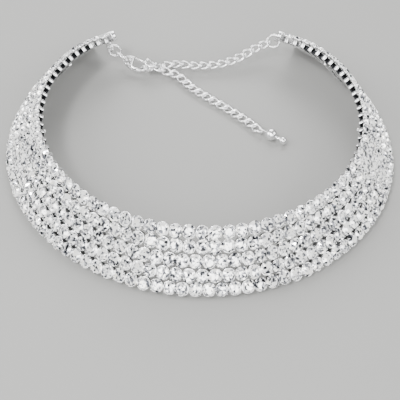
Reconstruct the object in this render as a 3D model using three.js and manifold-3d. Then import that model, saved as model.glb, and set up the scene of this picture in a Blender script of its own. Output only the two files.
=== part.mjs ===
import * as THREE from 'three';
import { mergeVertices } from 'three/addons/utils/BufferGeometryUtils.js';
import Module from 'manifold-3d';

// Rhinestone collar choker, millimetres, +Z up. It lies on its wide edge, its
// front faces -Y and its two ends are at the back. Angles run round the collar
// from the front, s runs down the sloping wall and h out of its back face.

// collar
const ROWS = 5;
const STONE_PITCH = 4.0;
const ROW_PITCH = 4.42;
const ROW_GAP = 0.45;
const SETTING_DEPTH = 3.0;
const CROWN = 0.6;
const GROOVE = 0.6;
const TABLE = 2.4;
const RIM_HALF_WIDTH = 55.3;
const RIM_HALF_DEPTH = 57.2;
const END_ANGLE = 143.6;
const SLOPE_FRONT = 55.3;
const SLOPE_DROP = 17.7;
const EASE_ANGLE = 103.4;

// braces soldered behind the rows, and the bars that close them off
const PIECE_GAP = 0.4;
const BRACES = 7;
const BRACE_END_ANGLE = 120;
const BRACE_WIDTH = 1.3;
const BRACE_DEPTH = 0.8;
const BRACE_INSET = 1.6;
const BAR_WIDTH = 1.8;
const BAR_FOOT = 2.6;
const EYE_S = 6.5;
const EYE_HOLE = 1.45;
const EYE_RIM = 0.7;
const EYE_THICKNESS = 0.8;
const EYE_INSET = 0.2;
const EYE_TURN = 40;

// jump rings, chain and drop
const RING_RADIUS = 2.4;
const RING_WIRE = 0.8;
const LINK_WIRE = 0.66;
const LINK_HALF_LENGTH = 2.42;
const LINK_HALF_WIDTH = 1.62;
const LINK_TWIST = -45;
const LINK_PITCH = 3.6;
const BEAD_DIAMETER = 4.3;
const NECK_DIAMETER = 1.4;
const NECK_LENGTH = 1.2;
const TIP_DIAMETER = 2.9;
const DROP_EYE_RADIUS = 1.4;
const DROP_WIRE = 0.7;
const DROP_GAP = 0.3;

// lobster clasp
const CLASP_LENGTH = 10.4;
const CLASP_WIDTH = 5.4;
const CLASP_THICKNESS = 2.0;
const SPINE = 1.35;
const HOOK_NOSE = 1.4;
const CLASP_EYE_HOLE = 1.05;
const CLASP_EYE_RIM = 0.75;
const CLASP_EYE_THICKNESS = 0.9;
const LEVER_LENGTH = 3.7;
const LEVER_HEIGHT = 0.8;
const LEVER_SEAT = 0.5;
const HOOK_SEAT = 0.25;

// Where the chain runs, as it was laid down: the closed strand comes from the
// right end to the hooked link, the tail goes on from there over the surface.
// The two spots are where the right eye and the hooked link lay then.
const RING_PULL = [0.78, -0.5, -0.375];
const CLASP_ALONG = [0.89, -0.43, -0.14];
const CLASP_FACE = [0, -0.85, 0.5];
const STRAND_ROUTE = [[26.9, 50.25, 7.95], [23.0, 49.0, 6.6], [19.4, 47.3, 5.3], [15.6, 45.4, 4.3],
  [11.5, 44.0, 3.5], [7.2, 43.2, 3.1], [3.0, 43.0, 2.9], [-1.3, 43.2, 2.8], [-5.5, 43.8, 2.8],
  [-11.78, 44.7, 1.49], [-16.15, 42.79, 2.41]];
const TAIL_ROUTE = [[-16.19, 40.38, 5.51], [-10.04, 39.8, 2.14], [-6.55, 38.31, 1.77], [-4.2, 35.8, 1.35],
  [-1.6, 31.9, 1.2], [1.2, 28.8, 1.2], [4.5, 25.6, 1.2], [7.8, 22.4, 1.2], [11.0, 19.3, 1.2],
  [14.2, 16.2, 1.2], [17.2, 13.0, 1.2], [19.9, 9.9, 1.2], [21.9, 7.3, 1.2]];
const DROP_AIM = [32.4, -0.6, 1.2];
const EYE_SPOT = [32.5, 51.1, 9.9];
const HOOK_SPOT = [-18.3, 40.4, 3.5];

const wasm = await Module();
wasm.setup();

const rad = THREE.MathUtils.degToRad;
const vec = (p) => new THREE.Vector3(...p);
const SLANT = ROWS * ROW_PITCH - ROW_GAP;
const silver = () => new THREE.MeshStandardMaterial({ color: 0xd9dadd, roughness: 0.22, metalness: 1 });
const crystal = () => new THREE.MeshStandardMaterial({ color: 0xeef0f4, roughness: 0.08, metalness: 0.4 });
const choker = new THREE.Group();
choker.name = 'choker';

function add(name, geometry, material) {
  const mesh = new THREE.Mesh(geometry, material);
  mesh.name = name;
  choker.add(mesh);
  return mesh;
}

// The wall leans in at SLOPE_FRONT and lies flatter towards its ends.
function slopeAt(angle) {
  const past = Math.max(0, (Math.abs(angle) - EASE_ANGLE) / (END_ANGLE - EASE_ANGLE));
  return rad(SLOPE_FRONT - SLOPE_DROP * past * past);
}

// The rim is an oval, and the wall runs out square to it.
function wallPoint(angle, s, h) {
  const slope = slopeAt(angle);
  const [sin, cos] = [Math.sin(rad(angle)), Math.cos(rad(angle))];
  const out = new THREE.Vector3(RIM_HALF_DEPTH * sin, -RIM_HALF_WIDTH * cos, 0).normalize();
  const run = s * Math.cos(slope) + (h - SETTING_DEPTH) * Math.sin(slope);
  const z = (SLANT - s) * Math.sin(slope) + h * Math.cos(slope);
  return new THREE.Vector3(RIM_HALF_WIDTH * sin, -RIM_HALF_DEPTH * cos, z).addScaledVector(out, run);
}

// Angles at equal steps of arc length along the girdles of one row.
function evenAngles(s) {
  const fine = 1440;
  const at = (i) => -END_ANGLE + (2 * END_ANGLE * i) / fine;
  const sums = [0];
  for (let i = 1; i <= fine; i++) {
    const step = wallPoint(at(i), s, SETTING_DEPTH).distanceTo(wallPoint(at(i - 1), s, SETTING_DEPTH));
    sums.push(sums[i - 1] + step);
  }
  const half = Math.round(sums[fine] / STONE_PITCH) * 2;
  const angles = [];
  let i = 1;
  for (let k = 0; k <= half; k++) {
    const want = (sums[fine] * k) / half;
    while (i < fine && sums[i] < want) i++;
    angles.push(at(i - 1) + (at(i) - at(i - 1)) * (want - sums[i - 1]) / (sums[i] - sums[i - 1]));
  }
  return angles;
}

// One row: square settings run together, each with an octagonal table.
function rowGeometry(row) {
  const top = row * ROW_PITCH;
  const bottom = top + ROW_PITCH - ROW_GAP;
  const middle = (top + bottom) / 2;
  const girdle = SETTING_DEPTH - GROOVE;
  const angles = evenAngles(middle);
  const points = [];
  const index = [];
  const put = (angle, s, h) => points.push(wallPoint(angle, s, h)) - 1;
  const tri = (...abc) => index.push(...abc);
  const quad = (a, b, c, d) => { tri(a, b, c); tri(a, c, d); };
  const section = (angle) => ({ topBack: put(angle, top, 0), lowBack: put(angle, bottom, 0),
    lowFront: put(angle, bottom, girdle), topFront: put(angle, top, girdle) });
  let left = section(angles[0]);
  quad(left.topBack, left.lowBack, left.lowFront, left.topFront);
  for (let k = 1; k < angles.length; k += 2) {
    const reach = wallPoint(angles[k], middle, SETTING_DEPTH + CROWN)
      .distanceTo(wallPoint(angles[k + 1], middle, SETTING_DEPTH + CROWN));
    const turn = (angles[k + 1] - angles[k]) * (TABLE / 2) / reach;
    const table = [...Array(8).keys()].map((j) => put(
      angles[k] + turn * Math.sin(rad(22.5 + 45 * j)),
      middle + (TABLE / 2) * Math.cos(rad(22.5 + 45 * j)), SETTING_DEPTH + CROWN));
    const right = section(angles[k + 1]);
    const corner = [left.lowFront, right.lowFront, right.topFront, left.topFront];
    for (let i = 0; i < 4; i++) {
      const next = corner[(i + 1) % 4];
      quad(corner[i], next, table[2 * i], table[(2 * i + 7) % 8]);
      tri(next, table[2 * i + 1], table[2 * i]);
    }
    for (let j = 1; j < 7; j++) tri(table[0], table[j], table[j + 1]);
    quad(left.topBack, right.topBack, right.lowBack, left.lowBack);
    quad(left.topBack, left.topFront, right.topFront, right.topBack);
    quad(left.lowBack, right.lowBack, right.lowFront, left.lowFront);
    left = right;
  }
  quad(left.topBack, left.topFront, left.lowFront, left.lowBack);
  const geometry = new THREE.BufferGeometry().setFromPoints(points);
  geometry.setIndex(index);
  geometry.computeVertexNormals();
  return geometry;
}

// Between a three.js geometry and a solid that can be joined and cut.
function toSolid(geometry) {
  const bare = geometry.clone();
  bare.deleteAttribute('normal');
  bare.deleteAttribute('uv');
  const { attributes, index } = mergeVertices(bare);
  return new wasm.Manifold(new wasm.Mesh({ numProp: 3,
    vertProperties: new Float32Array(attributes.position.array), triVerts: new Uint32Array(index.array) }));
}

function toGeometry(solid) {
  const { numProp, vertProperties, triVerts } = solid.getMesh();
  const points = [];
  for (let i = 0; i < vertProperties.length; i += numProp) points.push(vertProperties[i],
    vertProperties[i + 1], vertProperties[i + 2]);
  const geometry = new THREE.BufferGeometry();
  geometry.setAttribute('position', new THREE.Float32BufferAttribute(points, 3));
  geometry.setIndex([...triVerts]);
  geometry.computeVertexNormals();
  return geometry;
}

// A frame from its origin, its x direction and the side that z should face.
function frame(origin, along, facing) {
  const x = along.clone().normalize();
  const y = new THREE.Vector3().crossVectors(facing, x).normalize();
  const z = new THREE.Vector3().crossVectors(x, y);
  return new THREE.Matrix4().makeBasis(x, y, z).setPosition(origin);
}

function addPlaced(name, geometry, matrix) {
  const mesh = add(name, geometry, silver());
  mesh.applyMatrix4(matrix);
  return mesh;
}

const circle = (radius, sides) => [...Array(sides).keys()].map((i) => [
  radius * Math.cos((2 * Math.PI * i) / sides), radius * Math.sin((2 * Math.PI * i) / sides)]);
const shape = (points) => new THREE.Shape(points.map(([x, y]) => new THREE.Vector2(x, y)));

// A flat outline made thick, the same to both sides of its plane.
function slab(outline, thick) {
  return new THREE.ExtrudeGeometry(outline, { depth: thick, bevelEnabled: false })
    .translate(0, 0, -thick / 2);
}

function wallFrame(angle) {
  const down = wallPoint(angle, 1, 0).sub(wallPoint(angle, 0, 0));
  const out = wallPoint(angle, 0, 1).sub(wallPoint(angle, 0, 0));
  return frame(wallPoint(angle, 0, 0), down, out);
}

// In a wall frame local x is s, local z is h and local y runs on round the collar.
function addBrace(number) {
  const angle = -BRACE_END_ANGLE + (2 * BRACE_END_ANGLE * (number - 1)) / (BRACES - 1);
  const sag = (BRACE_WIDTH / 2) ** 2 / (2 * RIM_HALF_WIDTH);
  const brace = new THREE.BoxGeometry(SLANT - 2 * BRACE_INSET, BRACE_WIDTH, BRACE_DEPTH)
    .translate(SLANT / 2, 0, -PIECE_GAP - BRACE_DEPTH / 2 - sag);
  addPlaced(`brace_${number}`, brace, wallFrame(angle));
}

// The bar that closes an end: side is -1 for the left one and 1 for the right
// one. Its eye is behind it on the left; on the right it is beyond it, turned back.
function addEndBar(name, side) {
  const slope = slopeAt(END_ANGLE);
  const deep = SETTING_DEPTH + CROWN;
  const foot = [SLANT + BAR_FOOT * Math.cos(slope), BAR_FOOT * Math.sin(slope)];
  const outline = [[0, 0], [SLANT, 0], foot, [SLANT - GROOVE, deep], [0, deep]];
  const bar = slab(shape(outline), BAR_WIDTH).rotateX(rad(90))
    .translate(0, side * (PIECE_GAP + BAR_WIDTH / 2), 0);
  const out = EYE_HOLE + EYE_INSET;
  const turn = side < 0 ? 90 : EYE_TURN;
  const eye = side < 0 ? [EYE_S, -PIECE_GAP - BAR_WIDTH / 2, -out]
    : [EYE_S, PIECE_GAP + BAR_WIDTH + out * Math.cos(rad(turn)), deep / 2 - out * Math.sin(rad(turn))];
  const rim = shape(circle(EYE_HOLE + EYE_RIM, 14));
  rim.holes.push(shape(circle(EYE_HOLE, 12)));
  const washer = slab(rim, EYE_THICKNESS).rotateX(rad(-turn)).translate(...eye);
  addPlaced(name, toGeometry(toSolid(bar).add(toSolid(washer))), wallFrame(side * END_ANGLE));
  return vec(eye).applyMatrix4(wallFrame(side * END_ANGLE));
}

function addRing(name, centre, along, facing) {
  const ring = add(name, new THREE.TorusGeometry(RING_RADIUS, RING_WIRE / 2, 6, 14), silver());
  ring.applyMatrix4(frame(centre, along, facing));
}

// An oval of wire, twisted about its length so that its ends cross the next ones.
class LinkCurve extends THREE.Curve {
  getPoint(t, target = new THREE.Vector3()) {
    const x = LINK_HALF_LENGTH * Math.cos(2 * Math.PI * t);
    const y = LINK_HALF_WIDTH * Math.sin(2 * Math.PI * t);
    const twist = rad(LINK_TWIST) * (x / LINK_HALF_LENGTH);
    return target.set(x, y * Math.cos(twist), y * Math.sin(twist));
  }
}

let links = 0;
function addLink(centre, along, facing) {
  links += 1;
  const geometry = new THREE.TubeGeometry(new LinkCurve(), 12, LINK_WIRE / 2, 5, true);
  const link = add(`link_${String(links).padStart(2, '0')}`, geometry, silver());
  link.applyMatrix4(frame(centre, along, facing));
}

// Links at even steps of about one link pitch along a route, ends included.
function addStrand(route) {
  const curve = new THREE.CatmullRomCurve3(route);
  const steps = Math.round(curve.getLength() / LINK_PITCH);
  const up = new THREE.Vector3(0, 0, 1);
  for (let i = 0; i <= steps; i++) addLink(curve.getPointAt(i / steps), curve.getTangentAt(i / steps), up);
  return curve;
}

// The clasp lies in its local x-y plane, from its eye at x = 0 to its nose.
const claspTip = CLASP_LENGTH - CLASP_EYE_HOLE - CLASP_EYE_RIM;
const leverRoot = [claspTip - HOOK_NOSE - PIECE_GAP - LEVER_LENGTH, CLASP_WIDTH / 2 - LEVER_SEAT];
function claspOutline() {
  const half = CLASP_WIDTH / 2;
  const length = CLASP_LENGTH / 2;
  return [...Array(24).keys()].map((i) => {
    const a = rad(15 * i);
    const taper = 1 - 0.18 * Math.cos(a + Math.PI);
    return [claspTip - length + length * Math.cos(a), half * Math.sin(a) * taper * 0.9];
  });
}

function addClasp(matrix) {
  const foot = -CLASP_WIDTH / 2;
  const [rootX, leverTop] = leverRoot;
  const leverLow = leverTop - LEVER_HEIGHT;
  const nose = rootX + LEVER_LENGTH;
  const throat = leverLow - PIECE_GAP - (foot + SPINE);
  const middle = foot + SPINE + throat / 2;
  const tall = CLASP_WIDTH - SPINE;
  const cutters = [
    new THREE.BoxGeometry(LEVER_LENGTH + 2 * PIECE_GAP, tall, 2 * CLASP_THICKNESS)
      .translate(rootX + LEVER_LENGTH / 2, foot + SPINE + tall / 2, 0),
    slab(shape(circle(throat / 2, 16)), 2 * CLASP_THICKNESS).translate(nose, middle, 0),
    slab(shape(circle(CLASP_EYE_HOLE, 12)), 2 * CLASP_THICKNESS),
  ];
  const cheek = 2 * (CLASP_EYE_HOLE + CLASP_EYE_RIM);
  for (const side of [-1, 1]) {
    cutters.push(new THREE.BoxGeometry(cheek, CLASP_WIDTH, CLASP_THICKNESS)
      .translate(0, 0, (side * (CLASP_THICKNESS + CLASP_EYE_THICKNESS)) / 2));
  }
  let body = toSolid(slab(shape(claspOutline()), CLASP_THICKNESS));
  for (const cutter of cutters) body = body.subtract(toSolid(cutter));
  addPlaced('clasp_body', toGeometry(body), matrix);
  const lever = new THREE.BoxGeometry(LEVER_LENGTH, LEVER_HEIGHT, CLASP_THICKNESS - 2 * PIECE_GAP)
    .translate(rootX + LEVER_LENGTH / 2, leverLow + LEVER_HEIGHT / 2, 0);
  addPlaced('clasp_lever', lever, matrix);
  return vec([claspTip - HOOK_NOSE / 2 + HOOK_SEAT, middle, 0]).applyMatrix4(matrix);
}

// The drop is one casting: an eye, a bead, a neck and a small ball. Its bead and
// its ball both lie on the surface.
function addDrop(link, along, aim) {
  const bead = BEAD_DIAMETER / 2;
  const tip = TIP_DIAMETER / 2;
  const beadAt = DROP_EYE_RADIUS + DROP_WIRE / 4 + bead;
  const tipAt = beadAt + bead + NECK_LENGTH + tip;
  const pieces = [
    new THREE.TorusGeometry(DROP_EYE_RADIUS, DROP_WIRE / 2, 6, 12).rotateX(rad(LINK_TWIST)),
    new THREE.SphereGeometry(bead, 16, 8).rotateZ(rad(90)).translate(beadAt, 0, 0),
    new THREE.CylinderGeometry(NECK_DIAMETER / 2, NECK_DIAMETER / 2, tipAt - beadAt, 10)
      .rotateZ(rad(90)).translate((beadAt + tipAt) / 2, 0, 0),
    new THREE.SphereGeometry(tip, 12, 6).rotateZ(rad(90)).translate(tipAt, 0, 0),
  ];
  const drop = pieces.map(toSolid).reduce((whole, piece) => whole.add(piece));
  const dip = (bead - tip) / (tipAt - beadAt);
  const eyeAt = link.clone().addScaledVector(along, LINK_HALF_LENGTH + DROP_GAP);
  const ahead = aim.clone().sub(eyeAt).setZ(0).normalize().setZ(-dip);
  eyeAt.z = bead + beadAt * dip;
  addPlaced('tail_drop', toGeometry(drop), frame(eyeAt, ahead, new THREE.Vector3(0, 0, 1)));
}

for (let row = 0; row < ROWS; row++) add(`stone_row_${row + 1}`, rowGeometry(row), crystal());
for (let number = 1; number <= BRACES; number++) addBrace(number);
const leftEye = addEndBar('end_bar_left', -1);
const rightEye = addEndBar('end_bar_right', 1);

// left end: two jump rings, then the clasp
const drawn = vec(RING_PULL).normalize();
const interlock = RING_WIRE + PIECE_GAP;
const round = new THREE.Vector3(0, 1, 0).transformDirection(wallFrame(-END_ANGLE));
const claspFace = vec(CLASP_FACE).normalize();
const claspAlong = vec(CLASP_ALONG).normalize();
addRing('jump_ring_1', leftEye.clone().addScaledVector(drawn, RING_RADIUS), drawn,
  drawn.clone().cross(round));
addRing('jump_ring_2', leftEye.clone().addScaledVector(drawn, 3 * RING_RADIUS - interlock), drawn,
  drawn.clone().cross(claspFace));
const claspEye = leftEye.clone().addScaledVector(drawn, 4 * RING_RADIUS - interlock);
const hook = addClasp(frame(claspEye, claspAlong, claspFace));

// A route moves with what its ends join, its points in between by their share.
function moved(route, startBy, endBy) {
  return route.map((p, i) => vec(p).addScaledVector(startBy, 1 - i / (route.length - 1))
    .addScaledVector(endBy, i / (route.length - 1)));
}

// right end: one jump ring, then the strand, the hooked link and the tail
const eyeBy = rightEye.clone().sub(vec(EYE_SPOT));
const hookBy = hook.clone().sub(vec(HOOK_SPOT));
const strandRoute = moved(STRAND_ROUTE, eyeBy, hookBy);
const tailRoute = moved(TAIL_ROUTE, hookBy, hookBy.clone().setZ(0));
const pull = strandRoute[0].clone().sub(rightEye).normalize();
const eyeAxis = vec([0, Math.sin(rad(EYE_TURN)), Math.cos(rad(EYE_TURN))])
  .transformDirection(wallFrame(END_ANGLE));
addRing('jump_ring_3', rightEye.clone().addScaledVector(pull, RING_RADIUS), pull,
  pull.clone().cross(eyeAxis));
addStrand(strandRoute);
addLink(hook, claspFace, claspFace.clone().cross(claspAlong));
const tail = addStrand(tailRoute);
addDrop(tail.getPointAt(1), tail.getTangentAt(1), vec(DROP_AIM).add(hookBy));

choker.updateMatrixWorld(true);
const box = new THREE.Box3().setFromObject(choker, true);
choker.position.set(-(box.min.x + box.max.x) / 2, -(box.min.y + box.max.y) / 2, -box.min.z);

export default choker;
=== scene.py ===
import math

import bpy
import numpy as np
from mathutils import Matrix, Vector


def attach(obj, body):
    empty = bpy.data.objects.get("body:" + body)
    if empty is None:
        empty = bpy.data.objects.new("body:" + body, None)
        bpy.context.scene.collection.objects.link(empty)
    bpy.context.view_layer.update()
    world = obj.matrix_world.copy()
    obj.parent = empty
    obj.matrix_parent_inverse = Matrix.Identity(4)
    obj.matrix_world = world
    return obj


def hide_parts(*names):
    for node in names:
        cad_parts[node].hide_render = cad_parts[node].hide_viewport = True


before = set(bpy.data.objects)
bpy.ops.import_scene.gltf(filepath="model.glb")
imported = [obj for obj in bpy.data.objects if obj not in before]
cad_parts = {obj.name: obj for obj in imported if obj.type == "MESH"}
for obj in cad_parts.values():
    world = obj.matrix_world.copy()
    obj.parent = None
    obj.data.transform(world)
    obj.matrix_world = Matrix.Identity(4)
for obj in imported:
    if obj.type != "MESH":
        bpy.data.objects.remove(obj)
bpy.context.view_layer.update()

# Rhinestone collar choker, lying on its wide edge as it would on a shop table.
# Metres, +Z up, the front of the collar faces -Y and its open back +Y.

# Camera
# In front of the collar and above it, aimed a little before the ring's middle.
CAMERA_AT = (-0.01469, -0.23912, 0.21825)
CAMERA_AIM = (-0.00108, -0.02287, 0.0)
CAMERA_LENS = 82.74
CAMERA_ROLL = 2.1
camera = bpy.data.objects.new("camera", bpy.data.cameras.new("camera"))
bpy.context.scene.collection.objects.link(camera)
bpy.context.scene.camera = camera
camera.data.lens = CAMERA_LENS
camera.data.sensor_width = 36.0
aim = (Vector(CAMERA_AIM) - Vector(CAMERA_AT)).to_track_quat("-Z", "Y")
roll = Matrix.Rotation(math.radians(CAMERA_ROLL), 4, "Z")
camera.matrix_world = Matrix.Translation(CAMERA_AT) @ aim.to_matrix().to_4x4() @ roll

# Silver plate
# Bright plated brass: nearly white, a soft mirror, a little cloudier in places
# where the plate was rubbed, with fine polishing marks. Its colour is darkened to
# painted shade on the cup sides between the cups and on the straps, where shadow falls.


def linear(code):
    """A hex sRGB colour as linear rgba, opaque."""
    parts = [int(code[i:i + 2], 16) / 255 for i in (1, 3, 5)]
    return [p / 12.92 if p <= 0.04045 else ((p + 0.055) / 1.055) ** 2.4 for p in parts] + [1.0]


def node(material, kind, **inputs):
    """Adds a shader node to a material and sets its unlinked inputs by name."""
    made = material.node_tree.nodes.new(kind)
    for name, value in inputs.items():
        made.inputs[name.replace("_", " ")].default_value = value
    return made


def new_material(name):
    """A material with an empty Principled surface, its links function and the surface node."""
    material = bpy.data.materials.new(name)
    material.use_nodes = True
    surface = material.node_tree.nodes["Principled BSDF"]
    return material, material.node_tree.links.new, surface


silver, join, surface = new_material("silver_plated_brass")
place = node(silver, "ShaderNodeTexCoord")
cloud = node(silver, "ShaderNodeTexNoise", Scale=420.0, Detail=3.0)
join(place.outputs["Object"], cloud.inputs["Vector"])
rough = node(silver, "ShaderNodeMapRange", From_Min=0.3, From_Max=0.7, To_Min=0.16, To_Max=0.32)
join(cloud.outputs["Fac"], rough.inputs["Value"])
join(rough.outputs["Result"], surface.inputs["Roughness"])
tone = node(silver, "ShaderNodeMix")
tone.data_type = "RGBA"
tone.inputs["A"].default_value = linear("#f0f0f1")
tone.inputs["B"].default_value = linear("#ffffff")
join(cloud.outputs["Fac"], tone.inputs["Factor"])
crevice_shade = node(silver, "ShaderNodeAttribute")
crevice_shade.attribute_name = "crevice_shade"
painted_shade_tone = node(silver, "ShaderNodeMix")
painted_shade_tone.data_type = "RGBA"
# painted shade: this near-black colour replaces the silver's own tone on faces flagged as shaded
painted_shade_tone.inputs["B"].default_value = linear("#37383b")
join(crevice_shade.outputs["Fac"], painted_shade_tone.inputs["Factor"])
join(tone.outputs["Result"], painted_shade_tone.inputs["A"])
join(painted_shade_tone.outputs["Result"], surface.inputs["Base Color"])
surface.inputs["Metallic"].default_value = 1.0
marks = node(silver, "ShaderNodeTexNoise", Scale=2600.0, Detail=2.0)
join(place.outputs["Object"], marks.inputs["Vector"])
bump = node(silver, "ShaderNodeBump", Strength=0.06, Distance=0.00005)
join(marks.outputs["Fac"], bump.inputs["Height"])
join(bump.outputs["Normal"], surface.inputs["Normal"])

# Crystal
# Clear foil-backed stones, with their reflections painted in: each facet has its own
# painted reflection value, and small shards of it differ again, standing for another
# part of the foil below: most are near white, some grey and a few dark. Foil also sends
# light back towards whoever looks, and a painted glow in the colour of each shard stands for that.
crystal, join, surface = new_material("foiled_crystal")
facet = node(crystal, "ShaderNodeAttribute")
facet.attribute_name = "facet"
place = node(crystal, "ShaderNodeTexCoord")
shards = node(crystal, "ShaderNodeTexVoronoi", Scale=1450.0)
join(place.outputs["Object"], shards.inputs["Vector"])
mixed = node(crystal, "ShaderNodeMix")
mixed.inputs["Factor"].default_value = 0.5
join(facet.outputs["Fac"], mixed.inputs["A"])
join(shards.outputs["Color"], mixed.inputs["B"])
# painted reflection: the ramp turns the mixed facet and shard value into a near-black to near-white
# reflection colour, warm and then blue at the very top
shade = node(crystal, "ShaderNodeValToRGB")
ramp = shade.color_ramp
ramp.elements[0].position, ramp.elements[0].color = 0.26, linear("#16181b")
ramp.elements[1].position, ramp.elements[1].color = 0.4, linear("#5a5c62")
for spot, code in ((0.5, "#a9aaae"), (0.58, "#f6f6f4"), (0.8, "#fffffc"), (0.9, "#fbf4e6"),
                   (1.0, "#e6ebfa")):
    ramp.elements.new(spot).color = linear(code)
join(mixed.outputs["Result"], shade.inputs["Fac"])
join(shade.outputs["Color"], surface.inputs["Base Color"])
# painted glow: the same painted reflection colour is emitted too, standing for light the foil sends back
join(shade.outputs["Color"], surface.inputs["Emission Color"])
surface.inputs["Emission Strength"].default_value = 0.9
surface.inputs["Metallic"].default_value = 0.7
surface.inputs["Roughness"].default_value = 0.08

# Rows of stones
# Five rows of cup chain lie edge to edge on a band that leans in, and flatter
# towards its ends. A cup is a small round bowl with four claws, linked to the
# next by a strap at its back, and its stone has 33 facets on its crown. The cups of
# the top row taper to a narrow foot, which shows from inside as a ladder.
MM = 0.001
SHIFT_Y = 3.9461
RIM_HALF_WIDTH, RIM_HALF_DEPTH, SETTING_DEPTH, END_ANGLE = 55.3, 57.2, 3.0, 143.6
SLOPE_FRONT, SLOPE_DROP, EASE_ANGLE = 55.3, 17.7, 103.4
ROWS, ROW_PITCH, ROW_GAP, STONE_PITCH = 5, 4.42, 0.45, 4.0
SLANT = ROWS * ROW_PITCH - ROW_GAP
CROWN_RADIUS, GIRDLE_AT, CROWN_RISE = 2.0, 2.68, 0.95
TABLE_RADIUS, STAR_RADIUS, STAR_DROP, GIRDLE_HALF, CULET_AT = 1.12, 1.46, 0.42, 0.06, 0.9
CUP_PROFILE = ((0.0, 0.0), (0.82, 0.0), (1.0, 0.12), (1.06, 0.5), (1.08, 1.7), (1.25, 2.05),
               (1.75, 2.25), (2.0, 2.38), (2.03, 2.66), (1.9, 2.76), (0.0, 2.5))
CUP_SIDES, CUP_SQUARE, CUP_STRETCH, STONE_STRETCH = 20, 0.05, 1.1, 1.1
CUP_WIDENING, CUP_FLOOR, CUP_LIP, CUP_OPEN_SIDE = 1.6, 0.2, 2.1, 0.7
CLAW_PATH = ((1.9, 1.9), (2.12, 2.35), (2.14, 2.75), (1.98, 3.05), (1.68, 3.2))
CLAW_TAPER = (1.0, 1.0, 0.95, 0.85, 0.55)
CLAW_WIDTH, CLAW_DEPTH, CLAW_RIDGE, CLAW_RISE = 0.5, 0.176, 0.6, 0.1
STRAP_WIDTH, STRAP_LOW, STRAP_HIGH, STRAP_LAP = 0.85, 0.3, 0.62, 0.1
# The last two numbers set painted reflection: a lighter or darker shift for each stone, and the spread of
# the values of its facets.
STONE_LEAN, STONE_MOOD, FACET_REFLECTION_SPREAD = 0.05, 0.06, (1.5, 1.1)
random = np.random.default_rng(11)


def new_piece(name, points, faces, material, body="choker"):
    """A smooth mesh object from points in metres, riding on a CAD body."""
    mesh = bpy.data.meshes.new(name)
    mesh.from_pydata(np.asarray(points, float).tolist(), [], faces)
    mesh.materials.append(material)
    mesh.polygons.foreach_set("use_smooth", [True] * len(mesh.polygons))
    mesh.update()
    made = bpy.data.objects.new(name, mesh)
    bpy.context.scene.collection.objects.link(made)
    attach(made, body)
    return made


def slope_at(angle):
    """Lean of the wall at an angle from the front: full at the front, easing by the square."""
    past = max(0.0, (abs(angle) - EASE_ANGLE) / (END_ANGLE - EASE_ANGLE))
    return math.radians(SLOPE_FRONT - SLOPE_DROP * past * past)


def wall_point(angle, s, h):
    """Point s down and h out of the wall's back: an oval plus s cos a + (h - depth) sin a square to it."""
    slope, turn = slope_at(angle), math.radians(angle)
    rim = np.array((RIM_HALF_WIDTH * math.sin(turn), SHIFT_Y - RIM_HALF_DEPTH * math.cos(turn)))
    out = np.array((RIM_HALF_DEPTH * math.sin(turn), -RIM_HALF_WIDTH * math.cos(turn)))
    run = s * math.cos(slope) + (h - SETTING_DEPTH) * math.sin(slope)
    z = (SLANT - s) * math.sin(slope) + h * math.cos(slope)
    return np.append(rim + out * run / np.linalg.norm(out), z) * MM


def wall_axes(angle):
    """Unit vectors round the collar, down the wall and out of it, as the rows of a matrix."""
    back = wall_point(angle, 0, 0)
    down, out = (wall_point(angle, 1, 0) - back) / MM, (wall_point(angle, 0, 1) - back) / MM
    return np.array([np.cross(out, down), down, out])


def stone_angles(s):
    """Centre angles of the stones of one row, at even steps of arc length."""
    fine = np.linspace(-END_ANGLE, END_ANGLE, 1441)
    line = np.array([wall_point(a, s, SETTING_DEPTH) for a in fine])
    run = np.concatenate([[0], np.cumsum(np.linalg.norm(np.diff(line, axis=0), axis=1))])
    count = round(run[-1] / (STONE_PITCH * MM))
    return np.interp((np.arange(count) + 0.5) * run[-1] / count, run, fine)


def lathe(profile, sides):
    """A closed turned body: r cos a, r sin a, h for (r, h) pairs that start and end on the axis."""
    turn = (np.arange(sides) + 0.5) * 2 * np.pi / sides
    radius, height = np.array(profile, float).T[:, 1:-1, None]
    rings = np.stack([radius * np.cos(turn), radius * np.sin(turn), height + 0 * turn], 2)
    points = np.concatenate([[(0, 0, profile[0][1])], rings.reshape(-1, 3), [(0, 0, profile[-1][1])]])
    faces, last = [], len(points) - 1
    for i in range(sides):
        j = (i + 1) % sides
        faces.append((0, 1 + j, 1 + i))
        for ring in range(len(profile) - 3):
            a, b = 1 + ring * sides, 1 + (ring + 1) * sides
            faces.append((a + i, a + j, b + j, b + i))
        faces.append((last - sides + i, last - sides + j, last))
    return points, faces


def box_body(x, y, z):
    """A box between three (low, high) pairs."""
    points = np.stack(np.meshgrid(z, y, x, indexing="ij")[::-1], 3).reshape(-1, 3)
    return points, [(0, 2, 3, 1), (4, 5, 7, 6), (0, 1, 5, 4), (2, 6, 7, 3), (0, 4, 6, 2), (1, 3, 7, 5)]


def claw(turn):
    """A claw is a tab up the side of the stone whose rounded tip bends over its crown."""
    r, h = np.array(CLAW_PATH).T
    wide = CLAW_WIDTH / 2 * np.array(CLAW_TAPER)
    outer, ridge = r + CLAW_DEPTH, CLAW_RIDGE * wide
    corners = [(r, -wide, h), (outer, -ridge, h + CLAW_RISE), (outer, ridge, h + CLAW_RISE), (r, wide, h)]
    points = np.array(corners).transpose(2, 0, 1).reshape(-1, 3)
    faces, last = [], len(points)
    for step in range(len(CLAW_PATH) - 1):
        a, b = 4 * step, 4 * step + 4
        faces += [(a + i, a + (i + 1) % 4, b + (i + 1) % 4, b + i) for i in range(4)]
    faces += [(3, 2, 1, 0), tuple(range(last - 4, last))]
    c, s = math.cos(turn), math.sin(turn)
    return points @ np.array([[c, s, 0], [-s, c, 0], [0, 0, 1]]), faces


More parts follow.
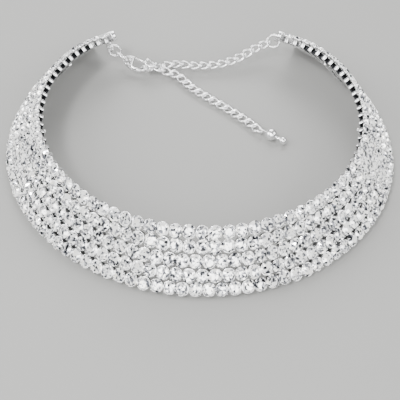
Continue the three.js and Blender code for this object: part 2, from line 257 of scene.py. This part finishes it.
def stone():
    """A round cut: table in 8 wedges, 8 stars, 8 kites, 16 upper girdle facets, girdle and pavilion."""
    top = GIRDLE_AT + CROWN_RISE

    def ring(radius, height, sides, offset):
        angles = (np.arange(sides) + offset) * 2 * np.pi / sides
        return np.stack([radius * np.cos(angles), radius * np.sin(angles), height + 0 * angles], 1)

    points = np.concatenate([[(0, 0, top)], ring(TABLE_RADIUS, top, 8, 0),
                             ring(STAR_RADIUS, top - STAR_DROP, 8, 0.5),
                             ring(CROWN_RADIUS, GIRDLE_AT + GIRDLE_HALF, 16, 0),
                             ring(CROWN_RADIUS, GIRDLE_AT - GIRDLE_HALF, 16, 0), [(0, 0, CULET_AT)]])
    table, star, upper, lower, culet = 1, 9, 17, 33, 49
    faces = []
    for i in range(8):
        j = (i + 1) % 8
        faces.append((0, table + i, table + j))
        faces.append((table + i, star + i, table + j))
        faces.append((table + j, star + i, upper + 2 * j, star + j))
        for k in (0, 1):
            faces.append((star + i, upper + 2 * i + k, upper + (2 * i + k + 1) % 16))
    for i in range(16):
        j = (i + 1) % 16
        faces.append((lower + i, lower + j, upper + j, upper + i))
        faces.append((culet, lower + j, lower + i))
    return points, faces


narrow_cup, cup_faces = lathe(CUP_PROFILE, CUP_SIDES)
corner = 1 + CUP_SQUARE * np.sin(2 * np.arctan2(narrow_cup[:, 1], narrow_cup[:, 0])) ** 2
narrow_cup[:, :2] *= corner[:, None] * np.array([1, CUP_STRETCH])
wide_cup = narrow_cup * np.where(narrow_cup[:, 2:] < CUP_LIP, (CUP_WIDENING, CUP_WIDENING, 1), 1)
stone_points, stone_faces = stone()
claws = [claw(math.radians(45 + 90 * i)) for i in range(4)]
beside = np.array([narrow_cup[list(f)].mean(0) for f in cup_faces])
strap = box_body((-STONE_PITCH / 2 - STRAP_LAP, STONE_PITCH / 2 + STRAP_LAP),
                 (-STRAP_WIDTH / 2, STRAP_WIDTH / 2), (STRAP_LOW, STRAP_HIGH))
for row in range(ROWS):
    middle = row * ROW_PITCH + (ROW_PITCH - ROW_GAP) / 2
    cup_points = wide_cup if row else narrow_cup
    points, faces, looks, painted_reflections, painted_shade_flags, start = [], [], [], [], [], 0
    # painted shade mask: cup faces between the floor and the lip, where neighbouring cups shade each
    # other; the upper side of the top row and the lower side of the bottom row stay unshaded
    hidden = (beside[:, 2] > CUP_FLOOR) & (beside[:, 2] < CUP_LIP)
    if row == 0:
        hidden &= beside[:, 1] > -CUP_OPEN_SIDE * np.hypot(beside[:, 0], beside[:, 1])
    if row == ROWS - 1:
        hidden &= beside[:, 1] < CUP_OPEN_SIDE * np.hypot(beside[:, 0], beside[:, 1])
    angles = stone_angles(middle)
    for angle in angles:
        axes, centre = wall_axes(angle), wall_point(angle, middle, 0)
        turn, lean = random.uniform(0, np.pi / 4), random.normal(0, STONE_LEAN, 2)
        c, s = math.cos(turn), math.sin(turn)
        turned = stone_points @ np.array([[c, s, 0], [-s, c, 0], [lean[0], lean[1], 1]])
        turned[:, 1] *= STONE_STRETCH
        mood = random.normal(0, STONE_MOOD)
        for body_points, body_faces, look in [(cup_points, cup_faces, 1), (turned, stone_faces, 0),
                                              (*strap, 1)] + [(*c, 1) for c in claws]:
            points.append(centre + body_points @ axes * MM)
            faces += [tuple(start + i for i in f) for f in body_faces]
            looks += [look] * len(body_faces)
            # painted shade: the masked cup sides, except on the two stones at each end of a row, and every
            # strap are flagged for the dark painted-shade colour
            if body_points is cup_points:
                painted_shade_flags += list(hidden & (angles[1] < angle < angles[-2]))
            else:
                painted_shade_flags += [body_points is strap[0]] * len(body_faces)
            # painted reflection: every face draws its own painted reflection value, shifted by the stone's
            # mood; only the crystal material reads it
            draws = random.beta(*FACET_REFLECTION_SPREAD, len(body_faces)) + mood
            painted_reflections += list(np.clip(draws, 0, 1))
            start += len(body_points)
    piece = new_piece(f"row_of_stones_{row + 1}", np.concatenate(points), faces, crystal)
    piece.data.materials.append(silver)
    piece.data.polygons.foreach_set("material_index", looks)
    piece.data.polygons.foreach_set("use_smooth", [look == 1 for look in looks])
    # painted reflection values for the crystal faces, kept as a face attribute
    reflection_layer = piece.data.attributes.new("facet", "FLOAT", "FACE")
    reflection_layer.data.foreach_set("value", painted_reflections)
    # painted shade flags for the cup sides and straps, kept as a face attribute
    painted_shade_layer = piece.data.attributes.new("crevice_shade", "FLOAT", "FACE")
    painted_shade_layer.data.foreach_set("value", np.array(painted_shade_flags, float))
    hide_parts(f"stone_row_{row + 1}")

# Braces
# Flat bars of silver-plated wire with softened edges, soldered across the backs of
# the rows to hold them together.
BRACES, BRACE_END_ANGLE, BRACE_INSET = 7, 120.0, 1.6
BRACE_WIDTH, BRACE_DEPTH, BRACE_SIDES, PIECE_GAP = 1.3, 0.8, 16, 0.4
BRACE_LENGTH, BRACE_SEAT = SLANT - 2 * BRACE_INSET, 0.6 * PIECE_GAP
BRACE_SWELL = ((0.0, 0.6), (0.12, 0.85), (0.35, 1.0), (BRACE_LENGTH - 0.35, 1.0),
               (BRACE_LENGTH - 0.12, 0.85), (BRACE_LENGTH, 0.6))
turn = np.arange(BRACE_SIDES) * 2 * np.pi / BRACE_SIDES
across, outward = (np.sign(c) * np.abs(c) ** 0.5 for c in (np.cos(turn), np.sin(turn)))
along, swell = np.array(BRACE_SWELL).T[..., None]
brace_points = np.stack([swell * across * BRACE_WIDTH / 2, BRACE_INSET + along + 0 * across,
                         swell * outward * BRACE_DEPTH / 2 - BRACE_SEAT - BRACE_DEPTH / 2], 2)
n, runs = BRACE_SIDES, len(BRACE_SWELL)
brace_faces = [(i * n + k, (i + 1) * n + k, (i + 1) * n + (k + 1) % n, i * n + (k + 1) % n)
               for i in range(runs - 1) for k in range(n)]
brace_faces += [tuple(range(n)), tuple(range((runs - 1) * n, runs * n))[::-1]]
for number in range(BRACES):
    angle = -BRACE_END_ANGLE + 2 * BRACE_END_ANGLE * number / (BRACES - 1)
    points = wall_point(angle, 0, 0) + brace_points.reshape(-1, 3) @ wall_axes(angle) * MM
    piece = new_piece(f"solder_bar_{number + 1}", points, brace_faces, silver)
    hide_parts(f"brace_{number + 1}")

# Curb links
# Oval links of round silver-plated wire, twisted so that each lies flat against the
# next. A link takes its place and its lie from the corners of its CAD node, whose
# wire is 0.28 mm thinner than the wire here.
LINK_WIRE, LINK_HALF_LENGTH, LINK_HALF_WIDTH, LINK_TWIST = 0.94, 2.42, 1.62, -45.0
LINK_STEPS, LINK_SIDES = 36, 10


def cad_axes(name):
    """Centre and principal axes, longest first, of a CAD node's own corners."""
    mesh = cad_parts[name].data
    corners = np.unique(np.round([tuple(v.co) for v in mesh.vertices], 7), axis=0)
    centre = corners.mean(0)
    axes = np.linalg.svd(corners - centre)[2]
    axes[2] = np.cross(axes[0], axes[1])
    return centre, axes


def tube(path, radius, sides, closed=True):
    """A round wire along a path: path + radius (up cos a + side sin a), up pointing from its middle."""
    path = np.asarray(path, float)
    count = len(path)
    ahead = np.roll(path, -1, 0) - np.roll(path, 1, 0)
    if not closed:
        ahead[0], ahead[-1] = path[1] - path[0], path[-1] - path[-2]
    ahead /= np.linalg.norm(ahead, axis=1)[:, None]
    side = np.cross(ahead, path - path.mean(0))
    side /= np.linalg.norm(side, axis=1)[:, None]
    up = np.cross(side, ahead)
    turn = np.arange(sides)[:, None] * 2 * np.pi / sides
    points = path[:, None] + radius * (np.cos(turn) * up[:, None] + np.sin(turn) * side[:, None])
    faces = [(i * sides + k, i * sides + (k + 1) % sides, (i + 1) % count * sides + (k + 1) % sides,
              (i + 1) % count * sides + k) for i in range(count if closed else count - 1)
             for k in range(sides)]
    if not closed:
        faces += [tuple(range(sides))[::-1], tuple(range((count - 1) * sides, count * sides))]
    return points.reshape(-1, 3), faces


turn = np.arange(LINK_STEPS) * 2 * np.pi / LINK_STEPS
x, y = LINK_HALF_LENGTH * np.cos(turn), LINK_HALF_WIDTH * np.sin(turn)
twist = math.radians(LINK_TWIST) * x / LINK_HALF_LENGTH
link_points, link_faces = tube(np.stack([x, y * np.cos(twist), y * np.sin(twist)], 1),
                               LINK_WIRE / 2, LINK_SIDES)
for name in sorted(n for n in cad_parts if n.startswith("link_")):
    centre, axes = cad_axes(name)
    piece = new_piece("curb_" + name, centre + link_points @ axes * MM, link_faces, silver)
    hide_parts(name)

# Jump rings
# Round silver-plated wire bent to a ring, with a narrow slit between its cut ends.
# Two lie between the left end bar and the clasp, one between the right bar and the chain.
RING_RADIUS, RING_WIRE, RING_CUT = 2.4, 0.86, 0.06
for number in (1, 2, 3):
    centre, axes = cad_axes(f"jump_ring_{number}")
    turn = np.linspace(RING_CUT, 2 * np.pi - RING_CUT, 48)
    circle = np.stack([RING_RADIUS * np.cos(turn), RING_RADIUS * np.sin(turn), 0 * turn], 1)
    points, faces = tube(circle, RING_WIRE / 2, 12, closed=False)
    piece = new_piece(f"wire_ring_{number}", centre + points @ axes * MM, faces, silver)
    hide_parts(f"jump_ring_{number}")

# End bars
# Each end of the band is closed by a flat bar with softened edges; a round eye
# for the jump ring is soldered behind the left one and beyond the right one.
EDGE_STEPS = 3


def plate(outlines, thick, edge):
    """A flat outline, any holes after it, made thick with its edges rounded by a quarter circle."""
    curve = bpy.data.curves.new("plate", "CURVE")
    curve.dimensions, curve.fill_mode = "2D", "BOTH"
    curve.extrude, curve.bevel_depth, curve.offset = thick / 2 - edge, edge, -edge
    curve.bevel_resolution = EDGE_STEPS
    for outline in outlines:
        spline = curve.splines.new("POLY")
        spline.points.add(len(outline) - 1)
        for point, (x, y) in zip(spline.points, outline):
            point.co = (x, y, 0, 1)
        spline.use_cyclic_u = True
    drawn = bpy.data.objects.new("plate", curve)
    mesh = bpy.data.meshes.new_from_object(drawn)
    bpy.data.objects.remove(drawn)
    return np.array([v.co for v in mesh.vertices]), [tuple(p.vertices) for p in mesh.polygons]


def joined(*bodies):
    """Several bodies of points and faces as one."""
    points, faces = [], []
    for body_points, body_faces in bodies:
        faces += [tuple(sum(map(len, points)) + i for i in face) for face in body_faces]
        points.append(body_points)
    return np.concatenate(points), faces


CROWN, GROOVE, BAR_WIDTH, BAR_FOOT, BAR_EDGE = 0.6, 0.6, 1.8, 2.6, 0.35
EYE_S, EYE_OUT, EYE_RADIUS, EYE_WIRE, EYE_TURN = 6.5, 1.65, 1.8, 0.78, 40.0
deep = SETTING_DEPTH + CROWN
slope = slope_at(END_ANGLE)
outline = [(0, 0), (0, deep), (SLANT - GROOVE, deep),
           (SLANT + BAR_FOOT * math.cos(slope), BAR_FOOT * math.sin(slope)), (SLANT, 0)]
bar_points, bar_faces = plate([outline], BAR_WIDTH, BAR_EDGE)
turn = np.linspace(0, 2 * np.pi, 33)[:-1]
for side, name in ((-1, "left"), (1, "right")):
    axes, centre = wall_axes(side * END_ANGLE), wall_point(side * END_ANGLE, 0, 0)
    middle = side * (PIECE_GAP + BAR_WIDTH / 2)
    bar = bar_points[:, [2, 0, 1]] + np.array((middle, 0, 0))
    lean = math.radians(EYE_TURN)
    if side < 0:
        eye = np.array((middle, EYE_S, -EYE_OUT))
        loop = np.stack([0 * turn, np.cos(turn), np.sin(turn)], 1)
    else:
        eye = np.array((PIECE_GAP + BAR_WIDTH + EYE_OUT * math.cos(lean), EYE_S,
                        deep / 2 - EYE_OUT * math.sin(lean)))
        loop = np.stack([np.cos(turn) * math.cos(lean), np.sin(turn), -np.cos(turn) * math.sin(lean)], 1)
    ring = tube(eye + EYE_RADIUS * loop, EYE_WIRE / 2, 12)
    points, faces = joined((bar, bar_faces), ring)
    piece = new_piece("closing_bar_" + name, centre + points @ axes * MM, faces, silver)
    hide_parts("end_bar_" + name)

# Lobster clasp
# A cast body, thick along its lower side and bent round to a hook, with an eye at
# its tail. The sprung lever closes the upper side between its root and the hook.
CLASP_ALONG, CLASP_FACE = (0.89, -0.43, -0.14), (0.0, -0.85, 0.5)
LEVER_MIDDLE, LEVER_SIZE = (4.95, 1.8), (3.7, 0.8, 1.2)
CLASP_THICKNESS, CLASP_EYE_THICKNESS, CLASP_EYE_HOLE = 2.0, 1.0, 1.05
CLASP_TAIL = ((2.72, 2.3), (1.6, 2.3), (0.4, 1.98), (-0.75, 1.52), (-1.5, 0.85), (-1.75, 0), (-1.5, -0.85),
              (-0.75, -1.56), (0.4, -2.2))
CLASP_UNDERSIDE = ((2.0, -2.66), (3.8, -2.85), (5.6, -2.72), (7.2, -2.15))
CLASP_HOOK = ((8.3, -1.2), (8.75, 0.0), (8.55, 1.0), (8.05, 1.65), (7.4, 2.0), (7.1, 1.6), (7.2, 1.05),
              (7.5, 0.5), (7.55, -0.15), (7.25, -0.8))
CLASP_THROAT = ((6.5, -1.15), (5.4, -1.25), (4.0, -1.22), (3.1, -1.05), (2.78, -0.7), (2.72, 0.2),
                (2.7, 1.4))
CLASP_OUTLINE = CLASP_TAIL + CLASP_UNDERSIDE + CLASP_HOOK + CLASP_THROAT
CLASP_EDGE, THIN_UNTIL, THIN_RAMP = 0.5, 1.3, 1.2
LEVER_EDGE, NOSE_RISE, NOSE_DROP, LEVER_FLAT = 0.2, 0.12, 0.2, 2


def smooth_loop(points, steps=4):
    """A closed Catmull-Rom curve through points, with steps to each span."""
    p0, p1, p2, p3 = (np.roll(np.array(points, float), k, 0) for k in (1, 0, -1, -2))
    t = np.linspace(0, 1, steps, endpoint=False)[:, None, None]
    line = 0.5 * (2 * p1 + (p2 - p0) * t + (2 * p0 - 5 * p1 + 4 * p2 - p3) * t ** 2
                  + (3 * p1 - p0 - 3 * p2 + p3) * t ** 3)
    return line.transpose(1, 0, 2).reshape(-1, 2)


def lying_axes(along, face):
    """Rows: the unit vector along, the one square to it and to face, and their cross product."""
    x = np.array(along) / np.linalg.norm(along)
    y = np.cross(face, x)
    y /= np.linalg.norm(y)
    return np.array((x, y, np.cross(x, y)))


clasp_axes = lying_axes(CLASP_ALONG, CLASP_FACE)
lever_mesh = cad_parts["clasp_lever"].data
lever_at = np.mean([tuple(v.co) for v in lever_mesh.vertices], axis=0)
clasp_at = lever_at - np.array((*LEVER_MIDDLE, 0)) @ clasp_axes * MM
turn = np.linspace(0, 2 * np.pi, 25)[:-1]
hole = CLASP_EYE_HOLE * np.stack([np.cos(turn), np.sin(turn)], 1)
points, faces = plate([smooth_loop(CLASP_OUTLINE), hole], CLASP_THICKNESS, CLASP_EDGE)
thin = np.clip((points[:, 0] - THIN_UNTIL) / THIN_RAMP, 0, 1)
points[:, 2] *= (CLASP_EYE_THICKNESS + (CLASP_THICKNESS - CLASP_EYE_THICKNESS) * thin) / CLASP_THICKNESS
piece = new_piece("lobster_clasp", clasp_at + points @ clasp_axes * MM, faces, silver)
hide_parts("clasp_body")

long, high, wide = LEVER_SIZE
left, right = LEVER_MIDDLE[0] - long / 2, LEVER_MIDDLE[0] + long / 2
low, top = LEVER_MIDDLE[1] - high / 2, LEVER_MIDDLE[1] + high / 2
outline = [(left, low), (right, low + NOSE_RISE), (right, top - NOSE_DROP), (left + LEVER_FLAT, top),
           (left, top)]
points, faces = plate([outline], wide, LEVER_EDGE)
piece = new_piece("sprung_lever", clasp_at + points @ clasp_axes * MM, faces, silver, body="clasp_lever")
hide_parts("clasp_lever")

# Tail drop
# A polished casting at the chain's end: an eye, a bead, a thin neck and a ball.
# The bead and the ball both touch the table.
DROP_AT, DROP_ALONG = (22.432, 9.562, 2.693), (0.8298, -0.5391, -0.1443)
BEAD_RADIUS, BEAD_AT, TIP_RADIUS, TIP_AT, NECK_RADIUS = 2.15, 3.725, 1.45, 8.525, 0.62
DROP_EYE_RADIUS, DROP_WIRE, NECK_SET_BACK, NECK_SWELL = 1.4, 0.74, 0.1, 1.15
profile = [(0.0, BEAD_AT - BEAD_RADIUS)]
for a in np.linspace(0, math.pi, 17)[1:-1]:
    r, at = BEAD_RADIUS * math.sin(a), BEAD_AT - BEAD_RADIUS * math.cos(a)
    if at < BEAD_AT or r > NECK_RADIUS:
        profile.append((r, at))
profile += [(NECK_RADIUS, BEAD_AT + BEAD_RADIUS + NECK_SET_BACK),
            (NECK_RADIUS * NECK_SWELL, (BEAD_AT + TIP_AT + BEAD_RADIUS - TIP_RADIUS) / 2),
            (NECK_RADIUS, TIP_AT - TIP_RADIUS)]
for a in np.linspace(0, math.pi, 15)[2:-1]:
    profile.append((TIP_RADIUS * math.sin(a), TIP_AT - TIP_RADIUS * math.cos(a)))
profile.append((0.0, TIP_AT + TIP_RADIUS))
turned, turned_faces = lathe(profile, 28)
turn = np.linspace(0, 2 * np.pi, 29)[:-1]
lean = math.radians(LINK_TWIST)
loop = DROP_EYE_RADIUS * np.stack([np.cos(turn), np.sin(turn) * math.cos(lean),
                                   np.sin(turn) * math.sin(lean)], 1)
points, faces = joined((turned[:, [2, 0, 1]], turned_faces), tube(loop, DROP_WIRE / 2, 10))
points = (np.array(DROP_AT) + points @ lying_axes(DROP_ALONG, (0, 0, 1))) * MM
piece = new_piece("bead_drop", points, faces, silver)
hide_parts("tail_drop")

# Floor and light
# A plain pale table top under soft studio lights.
floor_material, join, surface = new_material("pale_table")
surface.inputs["Base Color"].default_value = linear("#929290")
surface.inputs["Roughness"].default_value = 0.6
FLOOR_REACH = 2
corners = [(x * FLOOR_REACH, y * FLOOR_REACH, 0) for x, y in ((-1, -1), (1, -1), (1, 1), (-1, 1))]
mesh = bpy.data.meshes.new("floor")
mesh.from_pydata(corners, [], [(0, 1, 2, 3)])
mesh.materials.append(floor_material)
floor = bpy.data.objects.new("floor", mesh)
bpy.context.scene.collection.objects.link(floor)

LIGHTS = (("key", (-0.25, -0.35, 0.6), 0.12, 4.0), ("front", (0.0, -0.75, 0.28), 0.9, 12.0),
          ("left", (-0.7, 0.0, 0.45), 0.5, 6.5), ("right", (0.7, -0.1, 0.45), 0.5, 5.5),
          ("back", (0.0, 0.6, 0.5), 0.5, 5.5))
for name, at, size, power in LIGHTS:
    light = bpy.data.lights.new(name, "AREA")
    light.size, light.energy = size, power
    lamp = bpy.data.objects.new(name, light)
    bpy.context.scene.collection.objects.link(lamp)
    facing = (-Vector(at)).to_track_quat("-Z", "Y")
    lamp.matrix_world = Matrix.Translation(at) @ facing.to_matrix().to_4x4()
world = bpy.data.worlds.new("studio")
bpy.context.scene.world = world
world.use_nodes = True
world.node_tree.nodes["Background"].inputs["Color"].default_value = linear("#ffffff")
world.node_tree.nodes["Background"].inputs["Strength"].default_value = 0.5
